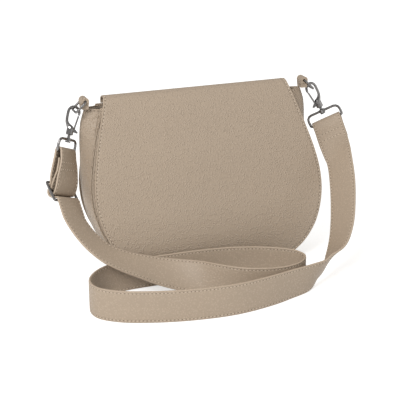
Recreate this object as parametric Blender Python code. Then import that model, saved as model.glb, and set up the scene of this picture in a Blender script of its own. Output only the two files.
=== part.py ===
"""A soft shoulder bag with a rounded flap and a clip-on strap, in metres, +Z up, its front towards -Y.

The origin is on the floor, on the flat of the bag's base and in the middle of its width.
"""

import math
from types import SimpleNamespace

import bmesh
import bpy
from mathutils import Matrix, Vector

# Whole bag
BAG_HEIGHT = 0.170
BAG_DEPTH = 0.074
PANEL_WIDTH = 0.234
FOLD_PROUD = 0.001
FLAP_INSET = 0.0022
FLAP_STAND = 0.006
GUSSET_WIDTH = PANEL_WIDTH + 2 * FOLD_PROUD
FLAP_WIDTH = PANEL_WIDTH - 2 * FLAP_INSET

# Sheets
LEATHER = 0.0014
LINING = 0.0008
GAP = 0.0003
SEAM = 0.0025
FILL = 0.0011

# Base board
BOARD_LENGTH = 0.112
BOARD_WIDTH = 0.020
BOARD_SHEET = 0.0012

# Inner pocket
POCKET_WIDTH = 0.110
POCKET_ROWS = (8, 17)
POCKET_SHEET = 0.0012

# Magnetic snap
SNAP_HEIGHT = 0.052
SNAP_RADIUS = 0.0065
SNAP_PLATE = 0.0007
SNAP_SEAT = 0.00045
SOCKET_HEIGHT = 0.0013
SOCKET_FLOOR = 0.0003
STUD_RADIUS = 0.0020
STUD_LENGTH = 0.0010
STUD_CLEARANCE = 0.0006
WASHER_RADIUS = 0.0055
WASHER_SHEET = 0.0004

# Tabs and rings
TAB_INSET = 0.0055
TAB_SPAN = PANEL_WIDTH - 2 * TAB_INSET
TAB_BACK_SHARE = 0.27
TAB_DROP = 0.0025
TAB_RADIUS = 0.0040
TAB_FOOT = 0.0030
TAB_WIDTH = 0.0095
RING_LENGTH = 0.013
RING_WIDTH = 0.0135
RING_WIRE = 0.0011
RING_CORNER = 0.0022
RING_TILT = math.radians(47)

# Snap hooks
HOOK_REACH = 0.0265
HOOK_SEAT = 0.0011
HOOK_BOW = 0.0052
HOOK_WIRE = 0.0013
HOOK_NOSE = 0.0009
NOSE_DROP = 0.0020
SPINE_LENGTH = 0.0060
BARREL_RADIUS = 0.0034
BARREL_TOP = 0.0162
BARREL_LENGTH = 0.0061
BARREL_CHAMFER = 0.0006
NECK_RADIUS = 0.0014
HEAD_RADIUS = 0.0026
HEAD_LENGTH = 0.0011
GATE_PIVOT_OUT = 0.0026
GATE_PIVOT_DROP = 0.0013
GATE_SHEET = 0.0018
GATE_SWEEP = 0.0023
GATE_PIN = 0.0007
GATE_TIP_GAP = 0.0005
PIN_CLEARANCE = 0.0001

# Bails, strap and slider
BAR_RADIUS = 0.00125
BAR_CORNER = 0.0015
BAIL_HEIGHT = 0.0113
BAIL_CORNER = 0.0050
BOSS_RADIUS = 0.0030
BOSS_LENGTH = 0.0029
STRAP_WIDTH = 0.030
STRAP_SHEET = 0.0022
STRAP_PLAY = 0.0006
STRAP_END = 0.025
STRAP_SPREAD = 0.009
FRONT_BOW = 0.0020
REAR_BOW = 0.0010
SLIDER_DROP = 0.0374
SLIDER_REACH = 0.0097
SLIDER_TILT = math.radians(35)
SLIDER_LEAVE = math.radians(45)
SLIDER_TWIST = math.radians(13.5)
TAIL_ENTRY = math.radians(-17)
REAR_ENTRY = math.radians(-18)
FRONT_LEAVE = math.radians(163)

# Facets
ROUND_SIDES = 12
ARC_STEPS = 8
CORNER_STEPS = 3
SHEET_COLUMNS = 2
GUSSET_COLUMNS = 10
INNER_COLUMNS = 6
ROW_STEPS = 2
SHARP_ANGLE = math.radians(35)

# The flap from its back edge over the crest to its foot: shares of the bag's depth and height,
# of the flap's width, and of how far it stands off the front panel
FLAP_SHARES = [
    (0.459, 0.945, 0.800, 0.00),
    (0.446, 0.973, 0.803, 0.00),
    (0.378, 0.993, 0.806, 0.00),
    (0.297, 1.000, 0.810, 0.00),
    (0.238, 0.982, 0.818, 0.10),
    (0.139, 0.898, 0.857, 0.25),
    (0.044, 0.781, 0.911, 0.45),
    (-0.062, 0.660, 0.961, 0.65),
    (-0.150, 0.546, 0.994, 0.80),
    (-0.227, 0.446, 0.998, 0.95),
    (-0.315, 0.354, 0.970, 1.00),
    (-0.392, 0.245, 0.908, 1.00),
    (-0.419, 0.153, 0.823, 1.00),
    (-0.405, 0.071, 0.706, 1.00),
    (-0.389, 0.035, 0.600, 1.00),
    (-0.378, 0.022, 0.500, 1.00),
]

# Half the body from its mouth down to the middle of its base: shares of the panel's width and
# the bag's height, of the gusset's width and the bag's height, and of the depth in front and behind
BODY_SHARES = [
    (0.825, 0.941, 0.936, 0.941, 0.241, 0.466),
    (0.860, 0.882, 0.968, 0.879, 0.168, 0.480),
    (0.894, 0.818, 0.982, 0.812, 0.108, 0.480),
    (0.926, 0.747, 0.985, 0.741, 0.047, 0.466),
    (0.957, 0.671, 0.991, 0.665, -0.023, 0.446),
    (0.985, 0.588, 1.000, 0.582, -0.092, 0.419),
    (1.000, 0.494, 0.998, 0.488, -0.166, 0.385),
    (0.991, 0.406, 0.987, 0.400, -0.251, 0.351),
    (0.960, 0.324, 0.956, 0.312, -0.328, 0.318),
    (0.909, 0.245, 0.907, 0.232, -0.384, 0.284),
    (0.833, 0.153, 0.831, 0.141, -0.412, 0.243),
    (0.718, 0.065, 0.716, 0.053, -0.399, 0.216),
    (0.615, 0.026, 0.610, 0.010, -0.385, 0.203),
    (0.513, 0.009, 0.508, 0.000, -0.378, 0.196),
    (0.256, 0.009, 0.254, 0.000, -0.378, 0.196),
    (0.000, 0.009, 0.000, 0.000, -0.378, 0.196),
]
BASE_CORNER = 13

# How far back the gusset's fold lies between the panels: at the mouth, down the sides, at the base
FOLD_SHARES = (0.35, 0.70, 0.50)
FOLD_TURN = 3
BASE_FLAT_SHARE = 0.6

# A hook's throat from its spine to its barrel: shares sideways, downwards and of the thickening
THROAT_SHARES = [
    (1.00, 0.00, 0.00),
    (0.92, 0.34, 0.04),
    (0.68, 0.60, 0.20),
    (0.36, 0.80, 0.50),
    (0.12, 0.93, 0.82),
    (0.00, 1.00, 1.00),
]

# Outline of a gate from its tip: shares of its length, outwards and upwards from its pivot
GATE_SHARES = [
    (0.130, 1.000),
    (0.215, 1.000),
    (0.110, 0.190),
    (0.120, 0.100),
    (0.350, -0.090),
    (0.305, -0.155),
    (0.060, -0.125),
    (-0.060, -0.110),
    (-0.110, -0.040),
    (-0.095, 0.060),
    (0.020, 0.190),
]

# Directions at each end of the strap: from the bail up to the ring, along the bail's bar, and
# down the strap from the bar
SIDES = {"left": -1, "right": 1}
HANG_SHARES = {
    "left": ((0.308, 0.216, 0.927), (0.630, 0.682, -0.369), (-0.217, -0.331, -0.919)),
    "right": ((-0.40, 0.2225, 0.89), (0.779, -0.428, 0.457), (-0.102, -0.807, -0.581)),
}

# How far the strap's layers bow between bail and slider: shares of the way down and of the bow
BOW_SHARES = [(0.12, 0.30), (0.19, 0.50), (0.30, 0.85), (0.50, 1.00), (0.70, 1.00), (0.86, 0.75)]
TAIL_SHARES = [(0.19, 0.50), (0.30, 0.85), (0.50, 1.00)]

# Free run of the strap from the slider to the right hook: its middle and the way its width lies
STRAP_ROUTE = [
    ((-0.1366, -0.0240, 0.0720), (0.75, 0.63, -0.22)),
    ((-0.1316, -0.0340, 0.0615), (0.74, 0.65, -0.18)),
    ((-0.1236, -0.0430, 0.0510), (0.77, 0.61, -0.18)),
    ((-0.1126, -0.0498, 0.0418), (0.77, 0.61, -0.10)),
    ((-0.0994, -0.0535, 0.0348), (0.72, 0.68, 0.05)),
    ((-0.0834, -0.0562, 0.0280), (0.62, 0.74, 0.25)),
    ((-0.0666, -0.0580, 0.0216), (0.51, 0.70, 0.50)),
    ((-0.0497, -0.0620, 0.0174), (0.36, 0.55, 0.75)),
    ((-0.0330, -0.0700, 0.0155), (0.20, 0.35, 0.91)),
    ((-0.0190, -0.0820, 0.0154), (0.08, 0.12, 0.99)),
    ((-0.0020, -0.0948, 0.0153), (0.0, 0.0, 1.0)),
    ((0.0180, -0.1040, 0.0152), (0.0, 0.0, 1.0)),
    ((0.0390, -0.1065, 0.0152), (0.0, 0.0, 1.0)),
    ((0.0550, -0.1012, 0.0152), (0.0, 0.0, 1.0)),
    ((0.0648, -0.0885, 0.0152), (0.0, 0.0, 1.0)),
    ((0.0610, -0.0745, 0.0152), (0.0, 0.0, 1.0)),
    ((0.0420, -0.0595, 0.0152), (0.0, 0.0, 1.0)),
    ((0.0120, -0.0475, 0.0152), (0.0, 0.0, 1.0)),
    ((-0.0200, -0.0425, 0.0152), (0.0, 0.0, 1.0)),
    ((-0.0600, -0.0410, 0.0152), (0.0, 0.0, 1.0)),
    ((-0.0950, -0.0415, 0.0152), (0.0, 0.0, 1.0)),
    ((-0.1140, -0.0455, 0.0152), (0.0, 0.0, 1.0)),
    ((-0.1290, -0.0565, 0.0152), (0.0, 0.0, 1.0)),
    ((-0.1375, -0.0720, 0.0152), (0.0, 0.0, 1.0)),
    ((-0.1355, -0.0880, 0.0152), (0.0, 0.0, 1.0)),
    ((-0.1210, -0.1020, 0.0152), (0.0, 0.0, 1.0)),
    ((-0.0950, -0.1135, 0.0152), (0.0, 0.0, 1.0)),
    ((-0.0600, -0.1225, 0.0152), (0.0, 0.0, 1.0)),
    ((-0.0200, -0.1260, 0.0152), (0.0, 0.0, 1.0)),
    ((0.0160, -0.1210, 0.0152), (0.0, -0.02, 1.0)),
    ((0.0400, -0.1145, 0.0152), (-0.06, -0.10, 0.99)),
    ((0.0620, -0.1080, 0.0155), (-0.15, -0.27, 0.95)),
    ((0.0750, -0.1015, 0.0180), (-0.33, -0.66, 0.68)),
    ((0.0845, -0.0960, 0.0215), (-0.38, -0.76, 0.53)),
    ((0.0930, -0.0905, 0.0270), (-0.22, -0.92, 0.31)),
    ((0.1015, -0.0850, 0.0350), (0.05, -0.97, 0.23)),
    ((0.1096, -0.0760, 0.0470), (0.22, -0.95, 0.21)),
    ((0.1177, -0.0620, 0.0627), (0.34, -0.90, 0.26)),
    ((0.1255, -0.0440, 0.0823), (0.41, -0.87, 0.29)),
    ((0.1302, -0.0260, 0.1007), (0.47, -0.79, 0.38)),
]

# Colours, in linear light
LEATHER_COLOUR = (0.385, 0.290, 0.205)
LINING_COLOUR = (0.430, 0.360, 0.280)
BOARD_COLOUR = (0.080, 0.075, 0.070)
NICKEL_COLOUR = (0.420, 0.410, 0.400)


def start_empty():
    for thing in list(bpy.data.objects):
        bpy.data.objects.remove(thing, do_unlink=True)


def finish(thing, colour, roughness, metallic):
    """Gives an object a material of its own."""
    material = bpy.data.materials.new(thing.name + "_finish")
    material.use_nodes = True
    shader = material.node_tree.nodes["Principled BSDF"]
    shader.inputs["Base Color"].default_value = (*colour, 1.0)
    shader.inputs["Roughness"].default_value = roughness
    shader.inputs["Metallic"].default_value = metallic
    thing.data.materials.append(material)
    return thing


def leather(thing):
    return finish(thing, LEATHER_COLOUR, 0.55, 0.0)


def cloth(thing):
    return finish(thing, LINING_COLOUR, 0.9, 0.0)


def nickel(thing):
    return finish(thing, NICKEL_COLOUR, 0.22, 1.0)


def mesh_object(name, work):
    """Ends a bmesh as a smooth-shaded object."""
    mesh = bpy.data.meshes.new(name)
    work.to_mesh(mesh)
    work.free()
    mesh.shade_smooth()
    mesh.set_sharp_from_angle(angle=SHARP_ANGLE)
    thing = bpy.data.objects.new(name, mesh)
    bpy.context.scene.collection.objects.link(thing)
    return thing


def set_origin(thing, origin):
    """Moves an object's origin and leaves its shape where it is."""
    thing.data.transform(Matrix.Translation(-origin))
    thing.location = origin
    return thing


def boolean(thing, other, operation):
    """Joins a helper body to an object or cuts it away."""
    other.hide_render = True
    other.display_type = "WIRE"
    step = thing.modifiers.new(other.name, "BOOLEAN")
    step.operation = operation
    step.solver = "EXACT"
    step.object = other
    return thing


def mixed(one, other, share):
    return tuple(low + (high - low) * share for low, high in zip(one, other))


def curve_point(four, share, measured):
    """A point between the middle two of four rows, on the smooth curve through them."""
    times = [0.0]
    for one, other in zip(four, four[1:]):
        times.append(times[-1] + math.sqrt(math.dist(one[:measured], other[:measured])))
    at = times[1] + share * (times[2] - times[1])

    def part(one, other, low, high):
        return mixed(one, other, (at - times[low]) / (times[high] - times[low]))

    first, middle, last = (part(four[i], four[i + 1], i, i + 1) for i in range(3))
    return part(part(first, middle, 0, 2), part(middle, last, 1, 3), 1, 2)


def smooth_rows(rows, steps, measured):
    """Rows on the smooth curve through the given ones, spaced by their first few numbers."""
    rows = [tuple(row) for row in rows]
    ends = [mixed(rows[1], rows[0], 2), *rows, mixed(rows[-2], rows[-1], 2)]
    found = []
    for index in range(len(rows) - 1):
        found.extend(curve_point(ends[index : index + 4], step / steps, measured) for step in range(steps))
    return [*found, rows[-1]]


def left_normal(path, index):
    """Unit normal of a flat path at one of its points, on the left of its way."""
    before = path[max(index - 1, 0)]
    after = path[min(index + 1, len(path) - 1)]
    way = (Vector(after) - Vector(before)).normalized()
    return Vector((-way.y, way.x))


def grid(rows, columns, place):
    """A bmesh sheet whose corners are placed by their row and by their share across, from -1 to 1."""
    work = bmesh.new()
    made = bmesh.ops.create_grid(work, x_segments=columns, y_segments=rows, size=1)
    for vert in made["verts"]:
        across = vert.co.x
        row = round((1 - vert.co.y) / 2 * rows)
        vert.co = place(row, across)
    return work


def lofted(name, loops, closed=False):
    """Joins loops of points into one skin, closed round or capped at both ends."""
    loops = [[*loop, loop[0]] for loop in loops]
    if closed:
        loops.append(loops[0])
    columns = len(loops[0]) - 1
    work = grid(len(loops) - 1, columns, lambda row, across: loops[row][round((across + 1) / 2 * columns)])
    bmesh.ops.remove_doubles(work, verts=work.verts, dist=PIN_CLEARANCE / 100)
    if not closed:
        bmesh.ops.holes_fill(work, edges=work.edges, sides=0)
    bmesh.ops.recalc_face_normals(work, faces=work.faces)
    return mesh_object(name, work)


def tube(name, points, radii, level, closed=False):
    """A round bar along a flat path that is at right angles to level."""
    loops = []
    for index, (point, radius) in enumerate(zip(points, radii)):
        before = points[index - 1] if closed or index else point
        after = points[(index + 1) % len(points)] if closed or index < len(points) - 1 else point
        side = level.cross(after - before).normalized()
        turns = [math.tau * side_index / ROUND_SIDES for side_index in range(ROUND_SIDES)]
        loops.append([point + (side * math.cos(turn) + level * math.sin(turn)) * radius for turn in turns])
    return lofted(name, loops, closed)


def turned_part(name, profile, origin, axis):
    """A round part from its radii and heights along an axis."""
    side = axis.orthogonal().normalized()
    points = [origin + axis * height for _, height in profile]
    radii = [radius for radius, _ in profile]
    loops = []
    for point, radius in zip(points, radii):
        turns = [math.tau * index / (2 * ROUND_SIDES) for index in range(2 * ROUND_SIDES)]
        across = axis.cross(side)
        loops.append([point + (side * math.cos(turn) + across * math.sin(turn)) * radius for turn in turns])
    return lofted(name, loops)


def slab(name, outline, shift):
    """A flat outline of points carried along a shift."""
    return lofted(name, [outline, [point + shift for point in outline]])


def box(name, centre, axes, sizes):
    """A box round its centre along three axes."""
    long, wide, high = (axis * size / 2 for axis, size in zip(axes, sizes))
    outline = [centre + long * i + wide * j - high for i, j in ((-1, -1), (1, -1), (1, 1), (-1, 1))]
    return slab(name, outline, high * 2)


def rounded_loop(centre, along, across, half_length, half_width, near_corner, far_corner):
    """Points round a rectangle, with one corner radius on its near side and one on its far side."""
    corners = [
        (1, -1, near_corner, -90),
        (1, 1, far_corner, 0),
        (-1, 1, far_corner, 90),
        (-1, -1, near_corner, 180),
    ]
    found = []
    for length_way, width_way, corner, start in corners:
        for step in range(CORNER_STEPS + 1):
            turn = math.radians(start + 90 * step / CORNER_STEPS)
            length = length_way * (half_length - corner) + corner * math.cos(turn)
            width = width_way * (half_width - corner) + corner * math.sin(turn)
            found.append(centre + along * length + across * width)
    return found


def sheet(name, rows, thickness, towards_front):
    """A sheet that is straight across, thickened away from its outer face."""
    work = grid(len(rows) - 1, SHEET_COLUMNS, lambda row, across: (across * rows[row][0], *rows[row][1:]))
    if not towards_front:
        bmesh.ops.reverse_faces(work, faces=work.faces)
    return thicken(mesh_object(name, work), thickness)


def thicken(thing, thickness):
    step = thing.modifiers.new("sheet", "SOLIDIFY")
    step.thickness = thickness
    step.offset = -1
    step.use_even_offset = True
    return thing


def flap_rows(depth):
    """Half width, Y and Z down the flap, at a depth under its outer face."""
    rows = []
    for y, z, width, stand in FLAP_SHARES:
        rows.append((y * BAG_DEPTH - stand * FLAP_STAND, z * BAG_HEIGHT, width * FLAP_WIDTH / 2))
    rows = smooth_rows(rows, ROW_STEPS, 2)
    path = [(y, z) for y, z, _ in rows]
    found = []
    for index, (y, z, width) in enumerate(rows):
        inward = left_normal(path, index) * depth
        found.append((width, y + inward.x, z + inward.y))
    return found


def body_rows():
    """BODY_SHARES as lengths, smoothed down to the base."""
    sizes = (PANEL_WIDTH / 2, BAG_HEIGHT, GUSSET_WIDTH / 2, BAG_HEIGHT, BAG_DEPTH, BAG_DEPTH)
    rows = [tuple(share * size for share, size in zip(row, sizes)) for row in BODY_SHARES]
    return smooth_rows(rows[: BASE_CORNER + 1], ROW_STEPS, 2) + rows[BASE_CORNER + 1 :]


def drawn_in(outline, inset):
    """A half outline moved inwards, from its mouth to the middle of its base."""
    found = []
    for index, (width, height) in enumerate(outline):
        out = left_normal(outline, index)
        found.append((max(width - out.x * inset, 0.0), height - out.y * inset))
    found[-1] = (0.0, found[-1][1])
    return found


def on_path(path, height):
    """Y and inward normal of a panel's outer face at a height."""
    last = len(path) - 1
    index = next((i for i in range(1, last) if path[i][1] <= height), last)
    above, below = path[index - 1], path[index]
    share = (above[1] - height) / (above[1] - below[1])
    normal = left_normal(path, index - 1).lerp(left_normal(path, index), min(max(share, 0.0), 1.0))
    return above[0] + (below[0] - above[0]) * share, normal.normalized()


def panel_rows(side, inset, depth):
    """Half width, Y and Z down a panel, drawn in from its edge and sunk under its outer face.

    side is 1 for the front and -1 for the back.
    """
    rows = body_rows()
    edge = drawn_in([(row[0], row[1]) for row in rows], inset)
    path = [(row[4] if side > 0 else row[5], row[1]) for row in rows[: BASE_CORNER * ROW_STEPS + 1]]
    found = []
    for width, height in edge:
        y, inward = on_path(path, height)
        found.append((width, y + inward.x * depth * side, height + inward.y * depth * side))
    return found


def panel_part(name, side, inset, depth, thickness, first=0, last=BASE_CORNER * ROW_STEPS):
    rows = panel_rows(side, inset, depth)[first : last + 1]
    return sheet(name, rows, thickness, side > 0)


def fold_rows(front, back, inset):
    """The middle line of the gusset, drawn in from its outline."""
    edge = drawn_in([(row[2], row[3]) for row in body_rows()], inset)
    turn = FOLD_TURN * ROW_STEPS
    found = []
    for index, (width, height) in enumerate(edge):
        if index < turn:
            share = mixed(FOLD_SHARES[:1], FOLD_SHARES[1:2], index / turn)[0]
        else:
            share = mixed(FOLD_SHARES[1:2], FOLD_SHARES[2:], (index - turn) / (len(edge) - 1 - turn))[0]
        y = front[index][1] + (back[index][1] - front[index][1]) * share
        found.append((width, y, max(height, inset)))
    return found


def gusset_part(name, seam, inset, depth, thickness, columns):
    """One strip from mouth to mouth round the base, folded outwards at the sides and flat below."""
    front = panel_rows(1, seam, depth)
    back = panel_rows(-1, seam, depth)
    fold = fold_rows(front, back, inset)
    last = len(fold) - 1

    def place(row, across):
        side = 1 if row > last else -1
        row = last - abs(row - last)
        down = row / last
        flat = BASE_FLAT_SHARE * down**2
        rise = (max(abs(across) - flat, 0.0) / (1 - flat)) ** 1.5
        seams = Vector(mixed(front[row], back[row], (across + 1) / 2))
        middle = Vector(mixed(front[row], back[row], 0.5))
        point = seams + (Vector(fold[row]) - middle) * (1 - rise)
        return Vector((point.x * side, point.y, point.z))

    work = grid(2 * last, columns, place)
    bmesh.ops.recalc_face_normals(work, faces=work.faces)
    work.faces.ensure_lookup_table()
    lowest = min(work.faces, key=lambda face: face.calc_center_median().z)
    if lowest.normal.z > 0:
        bmesh.ops.reverse_faces(work, faces=work.faces)
    return thicken(mesh_object(name, work), thickness)


def make_body():
    behind = LEATHER + FILL
    inset = LEATHER + GAP + BOARD_SHEET + GAP
    leather(panel_part("front_panel", 1, 0.0, 0.0, LEATHER))
    leather(panel_part("back_panel", -1, 0.0, 0.0, LEATHER))
    leather(gusset_part("gusset", SEAM, 0.0, LEATHER + 2 * GAP, LEATHER, GUSSET_COLUMNS))
    cloth(panel_part("lining_front", 1, SEAM + inset, behind, LINING))
    cloth(panel_part("lining_back", -1, SEAM + inset, behind, LINING))
    cloth(gusset_part("lining_gusset", SEAM + inset, inset, behind + LINING + GAP, LINING, INNER_COLUMNS))
    make_board()
    make_pocket(SEAM + inset, behind + LINING + GAP)


def make_board():
    front = panel_rows(1, SEAM, LEATHER + GAP)[-1][1]
    back = panel_rows(-1, SEAM, LEATHER + GAP)[-1][1]
    centre = Vector((0.0, (front + back) / 2, LEATHER + GAP + BOARD_SHEET / 2))
    axes = (Vector((1, 0, 0)), Vector((0, 1, 0)), Vector((0, 0, 1)))
    finish(box("base_board", centre, axes, (BOARD_LENGTH, BOARD_WIDTH, BOARD_SHEET)), BOARD_COLOUR, 0.9, 0.0)


def make_pocket(inset, depth):
    first, last = POCKET_ROWS
    rows = [(POCKET_WIDTH / 2, y, z) for _, y, z in panel_rows(-1, inset, depth)[first : last + 1]]
    cloth(sheet("inner_pocket", rows, POCKET_SHEET, False))


def hinge_point():
    """Middle of the back edge that the flap folds over."""
    _, y, z = flap_rows(0.0)[0]
    return Vector((0.0, y, z + LEATHER))


def make_flap():
    origin = hinge_point()
    lining = flap_rows(LEATHER + FILL)[1:]
    inner = [(width - SEAM, y, z) for width, y, z in lining]
    set_origin(leather(sheet("flap", flap_rows(0.0), LEATHER, True)), origin)
    set_origin(cloth(sheet("flap_lining", inner, LINING, True)), origin)


def crossing(origin, direction, path):
    """How far along a line it first crosses a flat path."""
    for one, other in zip(path, path[1:]):
        way = Vector(other) - Vector(one)
        gap = Vector(one) - origin
        spread = direction.cross(way)
        share = gap.cross(direction) / spread
        if 0 <= share <= 1:
            return gap.cross(way) / spread
    raise ValueError("the line misses the path")


def snap_axis():
    """Where the snap's axis starts on the flap's outer face, its way inwards, and its length to the panel."""
    path = [(y, z) for _, y, z in flap_rows(0.0)]
    index = min(range(len(path)), key=lambda i: abs(path[i][1] - SNAP_HEIGHT))
    origin = Vector(path[index])
    inward = left_normal(path, index)
    length = crossing(origin, inward, [(y, z) for _, y, z in panel_rows(1, 0.0, 0.0)])
    return Vector((0.0, *origin)), Vector((0.0, *inward)), length


def make_snap():
    origin, inward, length = snap_axis()
    lining = LEATHER + FILL + LINING
    plate = SNAP_SEAT + SNAP_PLATE
    stud = [
        (SNAP_RADIUS, SNAP_SEAT),
        (SNAP_RADIUS, plate),
        (STUD_RADIUS, plate),
        (STUD_RADIUS, plate + STUD_LENGTH),
    ]
    hole = STUD_RADIUS + STUD_CLEARANCE
    top = SNAP_SEAT + SOCKET_HEIGHT
    socket = [
        (SNAP_RADIUS, SNAP_SEAT),
        (SNAP_RADIUS, top - SOCKET_FLOOR),
        (SNAP_RADIUS - SOCKET_FLOOR, top),
        (hole, top),
        (hole, SNAP_SEAT + SOCKET_FLOOR),
    ]
    room = (FILL - WASHER_SHEET) / 2
    washer = [(WASHER_RADIUS, room), (WASHER_RADIUS, room + WASHER_SHEET)]
    seat = origin + inward * length
    flap_parts = [
        turned_part("snap_stud", stud, origin + inward * lining, inward),
        turned_part("stud_washer", washer, origin + inward * LEATHER, inward),
    ]
    for thing in flap_parts:
        set_origin(nickel(thing), hinge_point())
    nickel(turned_part("snap_socket", socket, seat, -inward))
    nickel(turned_part("socket_washer", washer, seat + inward * LEATHER, inward))


def hanging(name):
    """The places and directions of one side's ring, hook and bail."""
    side = SIDES[name]
    up, along, down = (Vector(way).normalized() for way in HANG_SHARES[name])
    along = (along - up * along.dot(up)).normalized()
    down = (down - along * down.dot(along)).normalized()
    ring_way = Vector((side * math.sin(RING_TILT), 0.0, -math.cos(RING_TILT)))
    tab = Vector((side * TAB_SPAN / 2, TAB_BACK_SHARE * BAG_DEPTH, BAG_HEIGHT - TAB_DROP))
    ring = tab + ring_way * RING_LENGTH
    crossbar = ring - up * HOOK_REACH
    outward = Vector((side, 0, 0))
    gate = (up * outward.dot(up) - outward).normalized()
    return SimpleNamespace(
        side=side,
        up=up,
        along=along,
        down=down,
        rear=along.cross(down),
        twist=SLIDER_TWIST if name == "left" else 0.0,
        tab=tab,
        ring_way=ring_way,
        ring=ring,
        crossbar=crossbar,
        bar=crossbar - up * BAIL_HEIGHT,
        gate=gate,
        level=gate.cross(up),
    )


def make_tab(name, place):
    """A leather loop round the ring, standing on the gusset's hem."""
    depth = Vector((0.0, TAB_WIDTH, 0.0))
    foot = BODY_SHARES[0][3] * BAG_HEIGHT + GAP
    start = place.tab - depth / 2
    turns = [math.pi * step / ARC_STEPS for step in range(ARC_STEPS + 1)]
    outline = [start + Vector((math.cos(turn), 0.0, math.sin(turn))) * TAB_RADIUS for turn in turns]
    outline += [Vector((start.x + way * TAB_FOOT, start.y, foot)) for way in (-1, 1)]
    tab = leather(slab("tab_" + name, outline, depth))
    hole = [(RING_WIRE + GAP, -TAB_WIDTH), (RING_WIRE + GAP, TAB_WIDTH)]
    cutter = turned_part("tab_hole_" + name, hole, place.tab, Vector((0.0, 1.0, 0.0)))
    boolean(tab, cutter, "DIFFERENCE")


def make_ring(name, place):
    centre = place.tab + place.ring_way * RING_LENGTH / 2
    width_way = Vector((0.0, 1.0, 0.0))
    sizes = (RING_LENGTH / 2, RING_WIDTH / 2, RING_CORNER, RING_CORNER)
    points = rounded_loop(centre, place.ring_way, width_way, *sizes)
    level = place.ring_way.cross(width_way)
    set_origin(nickel(tube("ring_" + name, points, [RING_WIRE] * len(points), level, True)), place.tab)


def hook_path():
    """Distances towards the gate and down the hook, and radii, from its nose to its head."""
    rows = [(HOOK_BOW, HOOK_SEAT + NOSE_DROP, HOOK_NOSE)]
    for step in range(ARC_STEPS + 1):
        turn = math.pi * step / ARC_STEPS
        rows.append((HOOK_BOW * math.cos(turn), HOOK_SEAT - HOOK_BOW * math.sin(turn), HOOK_WIRE))
    spine = HOOK_SEAT + SPINE_LENGTH
    for out, drop, thick in THROAT_SHARES:
        down = spine + (BARREL_TOP - spine) * drop
        rows.append((-HOOK_BOW * out, down, HOOK_WIRE + (BARREL_RADIUS - HOOK_WIRE) * thick))
    barrel = BARREL_TOP + BARREL_LENGTH
    head = HOOK_REACH + BOSS_LENGTH / 2 + GAP
    rows += [
        (0.0, barrel - BARREL_CHAMFER, BARREL_RADIUS),
        (0.0, barrel, BARREL_RADIUS - BARREL_CHAMFER),
        (0.0, barrel, NECK_RADIUS),
        (0.0, head, NECK_RADIUS),
        (0.0, head, HEAD_RADIUS),
        (0.0, head + HEAD_LENGTH, HEAD_RADIUS),
    ]
    return rows


def gate_pivot(place):
    return place.ring + place.gate * GATE_PIVOT_OUT - place.up * (BARREL_TOP + GATE_PIVOT_DROP)


def make_hook(name, place):
    rows = hook_path()
    points = [place.ring + place.gate * out - place.up * down for out, down, _ in rows]
    hook = nickel(tube("hook_" + name, points, [row[2] for row in rows], place.level))
    pivot = gate_pivot(place)
    cut_slot(name, place, hook, pivot)
    hole = [(GATE_PIN + PIN_CLEARANCE, -BARREL_RADIUS * 2), (GATE_PIN + PIN_CLEARANCE, BARREL_RADIUS * 2)]
    boolean(hook, turned_part("hook_pin_hole_" + name, hole, pivot, place.level), "DIFFERENCE")
    set_origin(hook, place.crossbar)
    half = math.sqrt(BARREL_RADIUS**2 - GATE_PIVOT_OUT**2) - GAP
    pin = turned_part("gate_pin_" + name, [(GATE_PIN, -half), (GATE_PIN, half)], pivot, place.level)
    set_origin(nickel(pin), place.crossbar)


def cut_slot(name, place, hook, pivot):
    """The open slot in the barrel that the gate swings in."""
    width = GATE_SHEET + 2 * GAP
    reach = BARREL_RADIUS * 2
    height = BARREL_RADIUS * 2
    centre = pivot + place.gate * (reach / 2 - GATE_SWEEP) + place.up * (height / 2 - GATE_SWEEP)
    axes = (place.gate, place.level, place.up)
    boolean(hook, box("hook_slot_" + name, centre, axes, (reach, width, height)), "DIFFERENCE")


def make_gate(name, place):
    """The sprung lever that closes the hook, with its thumb piece below."""
    pivot = gate_pivot(place)
    length = BARREL_TOP + GATE_PIVOT_DROP - HOOK_SEAT - NOSE_DROP - GATE_TIP_GAP
    start = pivot - place.level * GATE_SHEET / 2
    outline = [start + (place.gate * out + place.up * up) * length for out, up in GATE_SHARES]
    gate = nickel(slab("gate_" + name, outline, place.level * GATE_SHEET))
    hole = [(GATE_PIN + PIN_CLEARANCE, -GATE_SHEET), (GATE_PIN + PIN_CLEARANCE, GATE_SHEET)]
    boolean(gate, turned_part("gate_hole_" + name, hole, pivot, place.level), "DIFFERENCE")
    set_origin(gate, pivot)


def make_bail(name, place):
    """A flat loop through the strap's fold, with a boss on top for the hook's neck."""
    centre = place.bar + place.up * BAIL_HEIGHT / 2
    half_width = STRAP_WIDTH / 2 + STRAP_PLAY + BAR_RADIUS
    points = rounded_loop(centre, place.along, place.up, half_width, BAIL_HEIGHT / 2, BAR_CORNER, BAIL_CORNER)
    level = place.along.cross(place.up)
    bail = nickel(tube("bail_" + name, points, [BAR_RADIUS] * len(points), level, True))
    boss = [(BOSS_RADIUS, -BOSS_LENGTH / 2), (BOSS_RADIUS, BOSS_LENGTH / 2)]
    boolean(bail, turned_part("bail_boss_" + name, boss, place.crossbar, place.up), "UNION")
    hole = [(NECK_RADIUS + GAP, -BOSS_LENGTH), (NECK_RADIUS + GAP, BOSS_LENGTH)]
    boolean(bail, turned_part("bail_hole_" + name, hole, place.crossbar, place.up), "DIFFERENCE")
    set_origin(bail, place.bar)


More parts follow.
